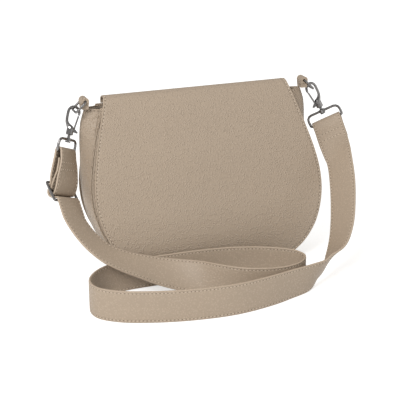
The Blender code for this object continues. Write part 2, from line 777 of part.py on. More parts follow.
def twisted(place, distance):
    """The ways along the strap's width and to its rear, which turn between its tip and the slider."""
    tip = SLIDER_DROP * TAIL_SHARES[0][0]
    share = (distance - tip) / (SLIDER_DROP - SLIDER_REACH - tip)
    turn = Matrix.Rotation(place.twist * min(max(share, 0.0), 1.0), 3, place.down)
    return turn @ place.along, turn @ place.rear


def make_slider(place):
    """A flat frame, tilted between the strap's layers, and its middle bar."""
    middle = place.bar + place.down * SLIDER_DROP
    along, rear = twisted(place, SLIDER_DROP)
    way = place.down * math.cos(SLIDER_TILT) - rear * math.sin(SLIDER_TILT)
    half_width = STRAP_WIDTH / 2 + STRAP_PLAY + BAR_RADIUS
    points = rounded_loop(middle, along, way, half_width, SLIDER_REACH, BAR_CORNER, BAR_CORNER)
    level = along.cross(way)
    nickel(tube("slider_frame", points, [BAR_RADIUS] * len(points), level, True))
    half = half_width - BAR_RADIUS - GAP
    nickel(turned_part("slider_bar", [(BAR_RADIUS, -half), (BAR_RADIUS, half)], middle, along))


def arc(centre, radius, start, end):
    """Points down and to the rear of a centre, from one turn to another."""
    turns = [start + (end - start) * step / ARC_STEPS for step in range(ARC_STEPS + 1)]
    return [(centre[0] + radius * math.sin(turn), centre[1] + radius * math.cos(turn)) for turn in turns]


def left_end():
    """The strap from its tip, round the slider's bar, over the bail and out through the slider."""
    turn = BAR_RADIUS + GAP + STRAP_SHEET / 2
    layer = STRAP_SHEET + GAP
    middle = (SLIDER_DROP, 0.0)
    drop = SLIDER_REACH * math.cos(SLIDER_TILT)
    out = SLIDER_REACH * math.sin(SLIDER_TILT)
    low = (SLIDER_DROP + drop, -out)
    inner = out - turn
    reach = SLIDER_DROP - drop
    tail = [(SLIDER_DROP * share, layer - turn - FRONT_BOW * bow) for share, bow in TAIL_SHARES]
    front = [(SLIDER_DROP * share, -turn - FRONT_BOW * bow) for share, bow in reversed(BOW_SHARES)]
    rear = [(reach * share, turn + (inner - turn) * share + REAR_BOW * bow) for share, bow in BOW_SHARES]
    return [
        *tail,
        (SLIDER_DROP - SLIDER_REACH, layer - turn),
        *arc(middle, turn, TAIL_ENTRY, FRONT_LEAVE),
        *front,
        *arc((0.0, 0.0), turn, math.pi, math.tau),
        *rear,
        (reach, inner),
        *arc(middle, turn + layer, REAR_ENTRY, math.pi / 2),
        *arc(low, turn, -math.pi / 2, -math.pi / 2 - SLIDER_LEAVE),
    ]


def right_end():
    """The strap up its front, over the bail and down to its sewn tip."""
    turn = BAR_RADIUS + GAP + STRAP_SHEET / 2
    half = (STRAP_SHEET + GAP) / 2
    return [
        (STRAP_END, -half),
        (STRAP_SPREAD, -half),
        *arc((0.0, 0.0), turn, math.pi, math.tau),
        (STRAP_SPREAD, half),
        (STRAP_END, half),
    ]


def laid(place, path):
    """Six numbers for each point of an end's path: the point, then the way of the strap's width."""
    found = []
    for down, back in path:
        along, rear = twisted(place, down)
        found.append((*(place.bar + place.down * down + rear * back), *along))
    return found


def strap_stations():
    left = laid(hanging("left"), left_end())
    right = laid(hanging("right"), right_end())
    route = [(*point, *way) for point, way in STRAP_ROUTE]
    free = smooth_rows([left[-2], left[-1], *route, right[0], right[1]], ROW_STEPS, 3)
    return left + free[2 * ROW_STEPS : -2 * ROW_STEPS] + right


def make_strap():
    """A flat band swept through all its stations."""
    stations = strap_stations()
    loops = []
    for index, station in enumerate(stations):
        point = Vector(station[:3])
        before = Vector(stations[max(index - 1, 0)][:3])
        after = Vector(stations[min(index + 1, len(stations) - 1)][:3])
        way = (after - before).normalized()
        across = Vector(station[3:])
        across = (across - way * across.dot(way)).normalized() * STRAP_WIDTH / 2
        thick = way.cross(across).normalized() * STRAP_SHEET / 2
        loops.append([point + across * i + thick * j for i, j in ((-1, -1), (1, -1), (1, 1), (-1, 1))])
    leather(lofted("strap", loops))


def make_hangers():
    for name in SIDES:
        place = hanging(name)
        make_tab(name, place)
        make_ring(name, place)
        make_hook(name, place)
        make_gate(name, place)
        make_bail(name, place)
    make_slider(hanging("left"))


start_empty()
make_body()
make_flap()
make_snap()
make_hangers()
make_strap()
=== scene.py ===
import math

import bmesh
import bpy
import numpy as np
from mathutils import Matrix, Vector, kdtree, noise
from mathutils.bvhtree import BVHTree


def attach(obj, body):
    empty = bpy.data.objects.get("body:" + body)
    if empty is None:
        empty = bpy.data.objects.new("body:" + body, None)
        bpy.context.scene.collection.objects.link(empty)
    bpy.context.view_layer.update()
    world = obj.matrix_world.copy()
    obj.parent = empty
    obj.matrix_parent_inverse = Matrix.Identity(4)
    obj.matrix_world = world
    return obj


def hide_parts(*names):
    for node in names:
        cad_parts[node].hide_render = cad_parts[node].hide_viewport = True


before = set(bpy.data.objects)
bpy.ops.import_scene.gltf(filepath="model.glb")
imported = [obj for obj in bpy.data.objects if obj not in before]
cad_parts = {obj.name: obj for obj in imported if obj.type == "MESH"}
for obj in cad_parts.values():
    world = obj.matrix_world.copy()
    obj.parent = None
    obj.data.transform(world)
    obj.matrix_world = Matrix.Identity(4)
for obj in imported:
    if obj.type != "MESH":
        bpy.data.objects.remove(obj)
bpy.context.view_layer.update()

# The studio: a white floor that still takes the bag's shadow, one wide lamp high over the front,
# a weaker one from the right, and the camera as far off and as high as the photographer stood.
CAMERA_LENS = 100.35
CAMERA_DISTANCE = 1.100
CAMERA_TURN = math.radians(21.6)
CAMERA_RISE = math.radians(19.9)
FILL_STRENGTH = 0.62
FLOOR_LIFT = 0.56
FLOOR_RADIUS = 8

camera_data = bpy.data.cameras.new("camera")
camera_data.lens = CAMERA_LENS
camera_data.sensor_width = 36
camera_data.clip_start = 0.05
camera_data.clip_end = 50
camera = bpy.data.objects.new("camera", camera_data)
bpy.context.scene.collection.objects.link(camera)
bpy.context.scene.camera = camera
aim = Vector((0.0031, 0.020, 0.0555))
level_way = Vector((math.sin(CAMERA_TURN), math.cos(CAMERA_TURN), 0.0))
looking = level_way * math.cos(CAMERA_RISE) - Vector((0.0, 0.0, math.sin(CAMERA_RISE)))
camera.location = aim - looking * CAMERA_DISTANCE
camera.rotation_mode = "QUATERNION"
camera.rotation_quaternion = looking.to_track_quat("-Z", "Y")
bpy.context.scene.view_settings.view_transform = "Standard"


def add(tree, kind, values=(), **settings):
    """One shader node with its settings, and its inputs as numbers or as other nodes' outputs."""
    made = tree.nodes.new(kind)
    for name, value in settings.items():
        setattr(made, name, value)
    for name, value in dict(values).items():
        socket = made.inputs[name]
        if isinstance(value, bpy.types.NodeSocket):
            tree.links.new(value, socket)
        else:
            socket.default_value = value
    return made


def maths(tree, operation, *values):
    """What one math node gives for numbers or other nodes' outputs."""
    return add(tree, "ShaderNodeMath", dict(enumerate(values)), operation=operation).outputs[0]


def made_object(name, work):
    """The object that holds a finished shape."""
    mesh = bpy.data.meshes.new(name)
    work.to_mesh(mesh)
    work.free()
    thing = bpy.data.objects.new(name, mesh)
    bpy.context.scene.collection.objects.link(thing)
    return thing


def softbox(name, place, width, power, colour):
    """A round lamp that looks at the bag."""
    data = bpy.data.lights.new(name, "AREA")
    data.shape = "DISK"
    data.size = width
    data.energy = power
    data.color = colour
    lamp = bpy.data.objects.new(name, data)
    bpy.context.scene.collection.objects.link(lamp)
    lamp.location = place
    lamp.rotation_mode = "QUATERNION"
    lamp.rotation_quaternion = (aim - Vector(place)).to_track_quat("-Z", "Y")


softbox("key_lamp", (-1.05, -1.05, 1.20), 0.7, 22.0, (1.0, 0.99, 0.985))
softbox("side_lamp", (1.5, -0.6, 0.7), 0.9, 1.8, (1.0, 0.98, 0.95))

world = bpy.data.worlds.new("studio_air")
bpy.context.scene.world = world
world.use_nodes = True
air = world.node_tree
air.nodes.clear()
rays = add(air, "ShaderNodeLightPath")
seen = maths(air, "MAXIMUM", rays.outputs["Is Camera Ray"], rays.outputs["Is Transmission Ray"])
fill_light = add(air, "ShaderNodeBackground", {"Color": (1.0, 0.99, 0.975, 1), "Strength": FILL_STRENGTH})
white = add(air, "ShaderNodeBackground", {"Color": (1, 1, 1, 1), "Strength": 1.0})
both = add(air, "ShaderNodeMixShader", {0: seen, 1: fill_light.outputs[0], 2: white.outputs[0]})
add(air, "ShaderNodeOutputWorld", {"Surface": both.outputs[0]})

work = bmesh.new()
bmesh.ops.create_circle(work, cap_ends=True, segments=64, radius=FLOOR_RADIUS)
floor = made_object("floor", work)
paper = bpy.data.materials.new("white_paper")
paper.use_nodes = True
tree = paper.node_tree
tree.nodes.clear()
rays = add(tree, "ShaderNodeLightPath")
seen = maths(tree, "MAXIMUM", rays.outputs["Is Camera Ray"], rays.outputs["Is Glossy Ray"])
seen = maths(tree, "MAXIMUM", seen, rays.outputs["Is Transmission Ray"])
lift = maths(tree, "MULTIPLY", seen, FLOOR_LIFT)
shine = add(tree, "ShaderNodeEmission", {"Color": (1, 1, 1, 1), "Strength": lift})
matt = add(tree, "ShaderNodeBsdfDiffuse", {"Color": (0.80, 0.80, 0.795, 1)})
whole = add(tree, "ShaderNodeAddShader", {0: shine.outputs[0], 1: matt.outputs[0]})
add(tree, "ShaderNodeOutputMaterial", {"Surface": whole.outputs[0]})
floor.data.materials.append(paper)


# The bag's body: a front and a back panel of pebbled leather, joined by one long gusset that folds
# outwards at the sides. Each is its solid's own sheet, eased like soft leather, and the hems at the
# mouth are stitched, apart from the back one.
THIN = 0.002
SHARP = math.radians(60)
RIM_STEP = 0.0004
FADE = 0.02
RIPPLE_TOP = 0.150
HEM_HEIGHT = 0.1565
LEATHER_INSET = 0.00010
MERGE = 0.00001
LONG_SHARE = 0.4
RIM_ANGLE = math.radians(55)
BODY_RIPPLE = (0.0004, 0.04)
BODY_GRAIN = 620.0
BODY_GRAIN_DEPTH = 0.00046
SEAM_INSET = 0.0019
SEAM_SLACK = 0.9
SAME_WAY = 0.5
TAUPE = (0.404, 0.319, 0.237)
STITCH_PITCH = 0.0034
STITCH = (0.0024, 0.0008, 0.0007)
STITCH_SINK = 0.00003
STITCH_LEAN = 0.07
NEEDLE_HOLE = (0.0010, 0.0009, 0.0004)
HOLE_SINK = 0.00006
HALF_PITCH = 0.5
THREAD_TAUPE = (0.62, 0.52, 0.41)
# The dark brown of the discs sunk at the needle holes: painted shade for the shade inside them.
PAINTED_HOLE_SHADE = (0.12, 0.085, 0.06)


def ranged(tree, value, low, high, first, last, smooth=False):
    """A value brought from one range into another."""
    kind = "SMOOTHSTEP" if smooth else "LINEAR"
    ends = {"Value": value, "From Min": low, "From Max": high, "To Min": first, "To Max": last}
    return add(tree, "ShaderNodeMapRange", ends, interpolation_type=kind).outputs[0]


def noisy(tree, place, scale, detail, **more):
    """A noise texture at a place."""
    return add(tree, "ShaderNodeTexNoise", {"Vector": place, "Scale": scale, "Detail": detail, **more})


def new_material(name):
    """A fresh material with its tree and its shader."""
    material = bpy.data.materials.new(name)
    material.use_nodes = True
    return material, material.node_tree, material.node_tree.nodes["Principled BSDF"]


def surface(tree, shader, colour, tone, roughness, height, strength, depth):
    """Joins a toned colour, a roughness and a relief to the shader."""
    painted = add(tree, "ShaderNodeVectorMath", {0: colour, "Scale": tone}, operation="SCALE")
    relief = add(tree, "ShaderNodeBump", {"Height": height, "Strength": strength, "Distance": depth})
    tree.links.new(painted.outputs[0], shader.inputs["Base Color"])
    tree.links.new(roughness, shader.inputs["Roughness"])
    tree.links.new(relief.outputs[0], shader.inputs["Normal"])


def pebbled_leather(name, colour, grain, depth, map_name=None):
    """Soft coated leather: small round pebbles, painted lighter on their tops as a painted highlight and
    darker between them as painted shade, fine creases, a drawn-in seam line with painted shade in its groove,
    and rubbed edges.
    """
    material, tree, shader = new_material(name)
    if map_name:
        place = add(tree, "ShaderNodeUVMap", uv_map=map_name).outputs[0]
    else:
        place = add(tree, "ShaderNodeTexCoord").outputs["Object"]
    bend = {0: noisy(tree, place, 150.0, 2.0).outputs["Color"], 1: (0.0004,) * 3}
    bend = add(tree, "ShaderNodeVectorMath", bend, operation="MULTIPLY").outputs[0]
    bent = add(tree, "ShaderNodeVectorMath", {0: place, 1: bend}, operation="ADD").outputs[0]
    cells = {"Vector": bent, "Scale": grain, "Randomness": 0.85}
    cells = add(tree, "ShaderNodeTexVoronoi", cells, feature="F1").outputs["Distance"]
    fine = {"Vector": bent, "Scale": grain * 2.6}
    fine = add(tree, "ShaderNodeTexVoronoi", fine, feature="F1").outputs["Distance"]
    cloudy = noisy(tree, place, 14.0, 3.0, Roughness=0.6).outputs[0]
    creases = noisy(tree, place, 90.0, 4.0, Distortion=0.6).outputs[0]
    edge = add(tree, "ShaderNodeAttribute", attribute_name="edge").outputs["Fac"]
    off_seam = maths(tree, "ABSOLUTE", maths(tree, "SUBTRACT", edge, SEAM_INSET))
    pulled = ranged(tree, off_seam, 0.0002, 0.0011, 0.0, 1.0, smooth=True)
    dome = ranged(tree, cells, 0.05, 0.56, 1.0, 0.0, smooth=True)
    height = maths(tree, "MULTIPLY_ADD", fine, -0.16, dome)
    height = maths(tree, "MULTIPLY_ADD", creases, 0.05, height)
    height = maths(tree, "MULTIPLY_ADD", pulled, 0.8, height)
    # Pebble tops are painted lighter and the hollows between them darker: painted highlight and painted
    # shade.
    tone = ranged(tree, dome, 0.0, 1.0, 0.90, 1.08)
    tone = maths(tree, "MULTIPLY", tone, ranged(tree, cloudy, 0.3, 0.7, 0.985, 1.015))
    # The seam line's groove is painted darker: painted shade in the recess.
    tone = maths(tree, "MULTIPLY", tone, ranged(tree, pulled, 0.0, 1.0, 0.96, 1.0))
    tone = maths(tree, "MULTIPLY", tone, ranged(tree, edge, 0.0004, 0.0010, 1.12, 1.0))
    surface(tree, shader, colour, tone, ranged(tree, dome, 0.0, 1.0, 0.58, 0.33), height, 1.0, depth)
    shader.inputs["Specular IOR Level"].default_value = 0.60
    return material


def thread(name, colour):
    """Bonded sewing thread: two plies laid round each other, a little paler than the leather."""
    material, tree, shader = new_material(name)
    place = add(tree, "ShaderNodeTexCoord").outputs["Object"]
    plies = {"Vector": place, "Scale": 700.0, "Distortion": 1.5}
    plies = add(tree, "ShaderNodeTexWave", plies, bands_direction="DIAGONAL").outputs["Fac"]
    fuzz = noisy(tree, place, 900.0, 2.0).outputs[0]
    tone = ranged(tree, plies, 0.0, 1.0, 0.86, 1.06)
    surface(tree, shader, colour, tone, ranged(tree, fuzz, 0.0, 1.0, 0.5, 0.75), plies, 0.6, 0.0001)
    return material


def thin_side(face):
    """Whether a face is part of a sheet's cut edge: it lies close along one sharp side or between two."""
    sharp = [edge for edge in face.edges if edge.calc_face_angle(0.0) > SHARP]
    if len(face.verts) == 3:
        longest = max(edge.calc_length() for edge in face.edges)
        long_edges = [edge.calc_length() for edge in sharp if edge.calc_length() > LONG_SHARE * longest]
        return any(2 * face.calc_area() / length < THIN for length in long_edges)
    for one in sharp:
        for other in sharp:
            middles = [(edge.verts[0].co + edge.verts[1].co) / 2 for edge in (one, other)]
            if not set(one.verts) & set(other.verts) and (middles[0] - middles[1]).length < THIN:
                return True
    return False


def evaluated(helper, levels):
    """The helper's mesh as its subdivision gives it at a level."""
    helper.modifiers["finer"].levels = helper.modifiers["finer"].render_levels = levels
    helper.data.update()
    bpy.context.view_layer.update()
    return bpy.data.meshes.new_from_object(helper.evaluated_get(bpy.context.evaluated_depsgraph_get()))


def softened(node, levels, ripple, ripple_size, inward, passes):
    """A fine mesh from a CAD sheet: merged, in four-sided faces, and smoothed through its own corners."""
    work = bmesh.new()
    work.from_mesh(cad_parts[node].data)
    bmesh.ops.remove_doubles(work, verts=work.verts, dist=MERGE)
    limits = {"angle_face_threshold": math.radians(50), "angle_shape_threshold": math.radians(180)}
    bmesh.ops.join_triangles(work, faces=work.faces, **limits)
    crease = work.edges.layers.float.new("crease_edge")
    for edge in work.edges:
        if edge.calc_face_angle(0.0) > SHARP:
            edge[crease] = 1.0
    for face in work.faces:
        face.material_index = int(thin_side(face))
    rough = bpy.data.meshes.new(node + "_rough")
    work.to_mesh(rough)
    work.free()
    for kept in ("custom_normal", "sharp_edge", "sharp_face"):
        if kept in rough.attributes:
            rough.attributes.remove(rough.attributes[kept])
    helper = bpy.data.objects.new(node + "_rough", rough)
    bpy.context.scene.collection.objects.link(helper)
    helper.modifiers.new("finer", "SUBSURF")
    corners = [vert.co.copy() for vert in rough.vertices]
    for _ in range(passes):
        eased = evaluated(helper, 1)
        for vert, corner, there in zip(rough.vertices, corners, eased.vertices):
            vert.co = vert.co + (corner - there.co)
    fine = evaluated(helper, levels)
    bpy.data.objects.remove(helper)
    work = bmesh.new()
    work.from_mesh(fine)
    bmesh.ops.triangulate(work, faces=[face for face in work.faces if len(face.verts) > 4])
    work.normal_update()
    for vert in work.verts:
        wave = noise.noise(vert.co / ripple_size) * ripple
        fall = min(1.0, max(0.0, vert.co.z / FADE), max(0.0, (RIPPLE_TOP - vert.co.z) / FADE))
        vert.co = vert.co + Vector((0.0, wave * fall, 0.0)) - vert.normal * inward
    return work


def nearby(points):
    """A search for the nearest of some points."""
    tree = kdtree.KDTree(len(points))
    for index, point in enumerate(points):
        tree.insert(point, index)
    tree.balance()
    return tree


def edge_distances(work):
    """Keeps how far each corner of the sheet is from its nearest sharp edge as the attribute edge."""
    layer = work.verts.layers.float.new("edge")
    points = []
    for edge in work.edges:
        if edge.calc_face_angle(0.0) > RIM_ANGLE:
            one, other = (vert.co for vert in edge.verts)
            parts = max(1, math.ceil((other - one).length / RIM_STEP))
            points.extend(one.lerp(other, part / parts) for part in range(parts))
    near = nearby(points)
    for vert in work.verts:
        vert[layer] = near.find(vert.co)[2]


def rims(work):
    """The closed runs of corners where the sheet's faces meet its cut edge."""
    left = {edge for edge in work.edges if len({face.material_index for face in edge.link_faces}) == 2}
    links = {}
    for edge in left:
        for vert in edge.verts:
            links.setdefault(vert, []).append(edge)
    found = []
    while left:
        start = min(left, key=lambda edge: edge.index)
        left.discard(start)
        run = [start.verts[0], start.verts[1]]
        nexts = [edge for edge in links[run[-1]] if edge in left]
        while nexts:
            left.discard(nexts[0])
            run.append(nexts[0].other_vert(run[-1]))
            nexts = [edge for edge in links[run[-1]] if edge in left]
        found.append([vert.co.copy() for vert in run])
    return found


def dressed(name, node, levels, ripple, ripple_size, material, body, slot, inward=0.0, passes=4):
    """A soft sheet that stands for its CAD node, with its rims and its skin to sew on."""
    work = softened(node, levels, ripple, ripple_size, inward, passes)
    work.normal_update()
    edge_distances(work)
    work.edges.index_update()
    runs = rims(work)
    skin = BVHTree.FromBMesh(work)
    for face in work.faces:
        face.material_index = 0
    thing = made_object(name, work)
    thing.data.shade_smooth()
    thing.data.set_sharp_from_angle(angle=math.radians(50))
    thing.data.materials.append(material)
    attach(thing, body)
    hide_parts(node)
    return runs, skin


taupe_thread = thread("taupe_thread", THREAD_TAUPE)
# The thread surface in dark brown, for the discs at the needle holes: painted shade.
needle_shade = thread("needle_shade", PAINTED_HOLE_SHADE)


def sew(name, seams, material, size, sink, shift=0.0, lean=0.0):
    """Small rounds along seams, each seam a run of points with the way out of the leather."""
    work = bmesh.new()
    for seam in seams:
        way = [0.0]
        for one, other in zip(seam, seam[1:]):
            way.append(way[-1] + (other[0] - one[0]).length)
        index = 0
        for number in range(int(way[-1] / STITCH_PITCH)):
            at = (number + 0.5 + shift) * STITCH_PITCH
            if at >= way[-1]:
                break
            while way[index + 1] < at:
                index += 1
            share = (at - way[index]) / (way[index + 1] - way[index])
            point = seam[index][0].lerp(seam[index + 1][0], share)
            out = seam[index][1].lerp(seam[index + 1][1], share).normalized()
            along = (seam[index + 1][0] - seam[index][0]).normalized()
            across = out.cross(along).normalized()
            along = (along + across * lean).normalized()
            across = out.cross(along).normalized()
            place = Matrix((along * size[0] / 2, across * size[1] / 2, out * size[2] / 2))
            place = place.transposed().to_4x4()
            place.translation = point - out * sink
            bmesh.ops.create_icosphere(work, subdivisions=1, radius=1, matrix=place)
    bmesh.ops.recalc_face_normals(work, faces=work.faces)
    thing = made_object(name, work)
    thing.data.shade_smooth()
    thing.data.materials.append(material)
    return thing


def stitched(name, seams, body):
    """The thread of some seams, and dark discs at their needle holes as painted shade."""
    threads = sew(name + "_stitches", seams, taupe_thread, STITCH, STITCH_SINK, lean=STITCH_LEAN)
    # Dark discs between the stitches: painted shade in the needle holes.
    hole_shade = sew(name + "_needle_hole_shade", seams, needle_shade, NEEDLE_HOLE, HOLE_SINK, shift=HALF_PITCH)
    for thing in (threads, hole_shade):
        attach(thing, body)
    return threads, hole_shade


def rim_seams(runs, skin, inset):
    """A seam on each face of a sheet, an inset inside its rim."""
    found = []
    for run, other in ((runs[0], runs[1]), (runs[1], runs[0])):
        far, near = nearby(other), nearby(run)
        seam = []
        last = len(run) - 1
        for index, point in enumerate(run):
            way = (run[min(index + 1, last)] - run[max(index - 1, 0)]).normalized()
            out = (point - far.find(point)[0]).normalized()
            inward = out.cross(way).normalized() * inset
            tries = [skin.find_nearest(point + step + out * RIM_STEP) for step in (inward, -inward)]
            place, normal, _, _ = min(tries, key=lambda one_try: one_try[3])
            if near.find(place)[2] > inset * SEAM_SLACK and normal.dot(out) > SAME_WAY:
                seam.append((place, normal))
        found.append(seam)
    return found


def sew_rims(name, runs, skin, body, sewn_there):
    """Thread round a sheet, with dark discs at its needle holes as painted shade, on both of its faces,
    wherever it is sewn.
    """
    seams = [[]]
    for seam in rim_seams(runs, skin, SEAM_INSET):
        for place, out in seam:
            if sewn_there(place):
                seams[-1].append((place, out))
            elif seams[-1]:
                seams.append([])
        seams.append([])
    stitched(name, [seam for seam in seams if len(seam) > 3], body)


taupe_leather = pebbled_leather("taupe_leather", TAUPE, BODY_GRAIN, BODY_GRAIN_DEPTH)
for name, levels in (("front_panel", 3), ("back_panel", 3), ("gusset", 2)):
    runs, skin = dressed(
        name + "_leather", name, levels, *BODY_RIPPLE, taupe_leather, "bag", "taupe_leather", LEATHER_INSET
    )
    if name != "back_panel":
        sew_rims(name + "_hem", runs, skin, "bag", lambda place: place.z > HEM_HEIGHT)


# The lining: a plain woven cloth bag inside the leather one, with one flat pocket on its back. The
# cloth is sewn in at the mouth.
LINING_TAUPE = (0.43, 0.36, 0.28)
CLOTH_RIPPLE = (0.0001, 0.03)


def woven_cloth(name):
    """Plain cloth: threads one way over threads the other way, a little uneven in tone."""
    material, tree, shader = new_material(name)
    place = add(tree, "ShaderNodeTexCoord").outputs["Object"]
    threads = {"Vector": place, "Scale": 420.0, "Distortion": 0.6}
    warp = add(tree, "ShaderNodeTexWave", threads, bands_direction="X").outputs["Fac"]
    weft = add(tree, "ShaderNodeTexWave", threads, bands_direction="Z").outputs["Fac"]
    cross = maths(tree, "MAXIMUM", warp, weft)
    shade = ranged(tree, noisy(tree, place, 40.0, 4.0).outputs[0], 0.3, 0.7, 0.94, 1.05)
    tone = maths(tree, "MULTIPLY", ranged(tree, cross, 0.0, 1.0, 0.82, 1.03), shade)
    rough = ranged(tree, shade, 0.94, 1.05, 0.92, 0.84)
    surface(tree, shader, LINING_TAUPE, tone, rough, cross, 0.5, 0.00012)
    shader.inputs["Sheen Weight"].default_value = 0.15
    return material


lining_cloth = woven_cloth("lining_cloth")
linings = {
    "front_lining": "lining_front",
    "back_lining": "lining_back",
    "gusset_lining": "lining_gusset",
    "pocket_cloth": "inner_pocket",
}
for name, node in linings.items():
    dressed(name, node, 2, *CLOTH_RIPPLE, lining_cloth, "bag", "lining_cloth")


# The base board: a strip of pressed fibre board, dark, mottled and matt, that lies in the bottom of
# the bag and keeps it flat. It is the solid's own mesh with a better finish.
BOARD_GREY = (0.080, 0.075, 0.070)


def board_material():
    """Pressed fibre board, mottled and matt."""
    material, tree, shader = new_material("stiffener_board")
    place = add(tree, "ShaderNodeTexCoord").outputs["Object"]
    fibres = noisy(tree, place, 700.0, 5.0, Distortion=1.5).outputs[0]
    tone = ranged(tree, fibres, 0.3, 0.7, 0.8, 1.2)
    rough = ranged(tree, fibres, 0.0, 1.0, 0.95, 0.8)
    surface(tree, shader, BOARD_GREY, tone, rough, fibres, 0.4, 0.0001)
    return material


def refinish(node, material):
    """Gives a CAD node a better material in its own slots."""
    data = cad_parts[node].data
    if not data.materials:
        data.materials.append(material)
    for index in range(len(data.materials)):
        data.materials[index] = material


refinish("base_board", board_material())


# The flap: one rounded leather sheet that comes over the top from the back, lined with cloth and
# sewn round its edge, but not where it is sewn on behind the crest. It closes on a hidden magnetic snap.
SEWN_ON = Vector((0.034, 0.162))
SEWN_ON_REACH = 0.006
FLAP_RIPPLE = (0.00035, 0.06)
runs, skin = dressed(
    "flap_leather", "flap", 3, *FLAP_RIPPLE, taupe_leather, "flap", "taupe_leather", LEATHER_INSET
)
sew_rims("flap", runs, skin, "flap", lambda place: (place.yz - SEWN_ON).length > SEWN_ON_REACH)
dressed("flap_cloth", "flap_lining", 2, *CLOTH_RIPPLE, lining_cloth, "flap", "lining_cloth")


# The snap: a thin pressed steel socket on the front panel and a stud on the flap that a magnet holds
# together, each held by a washer behind the leather.
SNAP_STEEL = (0.36, 0.35, 0.345)


def nickel_plate(name, colour, low, high):
    """Polished plating: a cloudy, lightly handled shine with hair-fine scratches."""
    material, tree, shader = new_material(name)
    place = add(tree, "ShaderNodeTexCoord").outputs["Object"]
    clouds = noisy(tree, place, 260.0, 3.0).outputs[0]
    hairs = noisy(tree, place, 2400.0, 2.0, Distortion=2.0).outputs[0]
    tone = ranged(tree, clouds, 0.3, 0.7, 0.9, 1.06)
    surface(tree, shader, colour, tone, ranged(tree, clouds, 0.3, 0.7, low, high), hairs, 0.08, 0.00005)
    shader.inputs["Metallic"].default_value = 1.0
    return material


snap_steel = nickel_plate("snap_steel", SNAP_STEEL, 0.20, 0.34)
for node in ("snap_socket", "snap_stud", "socket_washer", "stud_washer"):
    refinish(node, snap_steel)


# The hangers: a leather tab sewn on the gusset's hem at each side holds a nickel ring, a trigger snap
# hook is clipped into it, and the hook turns on the bail that the strap is folded over.
TAB_LEATHER_INSET = 0.00015
TAB_RIPPLE = (0.0, 0.03)
NICKEL = (0.235, 0.228, 0.225)
for name in ("tab_left", "tab_right"):
    dressed(
        name + "_leather", name, 2, *TAB_RIPPLE, taupe_leather, "bag", "taupe_leather",
        TAB_LEATHER_INSET, passes=0,
    )

nickel = nickel_plate("polished_nickel", NICKEL, 0.14, 0.24)
for name in ("left", "right"):
    for node in ("ring_", "hook_", "gate_", "gate_pin_", "bail_"):
        refinish(node + name, nickel)


# The shoulder strap: two layers of pebbled leather with turned edges, stitched along both sides.
# Its left end runs through the slider and over the bail; its right end is folded over the other bail
# and sewn. Between them it lies on the floor in front of the bag in two long bends.
STRAP_WIDTH = 0.030
STRAP_SHEET = 0.0022
ROW_PITCH = 0.0016
BAR = 0.00125
PLAY = 0.0003
TAB_PLACE = (0.1115, 0.01998, 0.1675)
RING_LENGTH = 0.013
RING_TILT = math.radians(47)
RING_TO_BAIL = 0.0378
SLIDER_DROP = 0.0374
SLIDER_REACH = 0.0097
SLIDER_TILT = math.radians(35)
SLIDER_TWIST = math.radians(13.5)
FRONT_BOW = 0.0020
REAR_BOW = 0.0010
TIP_SHARE = 0.19
END_LENGTH = 0.025
CLOSED_LENGTH = 0.009
ARC_STEPS = 12
RUN_STEPS = 6
SAME_PLACE = 0.000001
STRAP_GRAIN = 560.0
STRAP_GRAIN_DEPTH = 0.00018
SEAM_SHARE = 0.855
SEAM_LIFT = 0.80
CROSS_SEAM_LIFT = 0.97
CROSS_SEAM_REACH = (-0.78, -0.26, 0.26, 0.78)
LEFT_CROSS_SEAMS = ((0.0105, 0.80), (0.0170, 0.97))
RIGHT_CROSS_SEAMS = (0.0150, 0.0225)
bows = [(0.12, 0.30), (0.19, 0.50), (0.30, 0.85), (0.50, 1.00), (0.70, 1.00), (0.86, 0.75)]
hang = {
    "left": (-1, (0.308, 0.216, 0.927), (0.630, 0.682, -0.369), (-0.217, -0.331, -0.919)),
    "right": (1, (-0.40, 0.2225, 0.89), (0.779, -0.428, 0.457), (-0.102, -0.807, -0.581)),
}
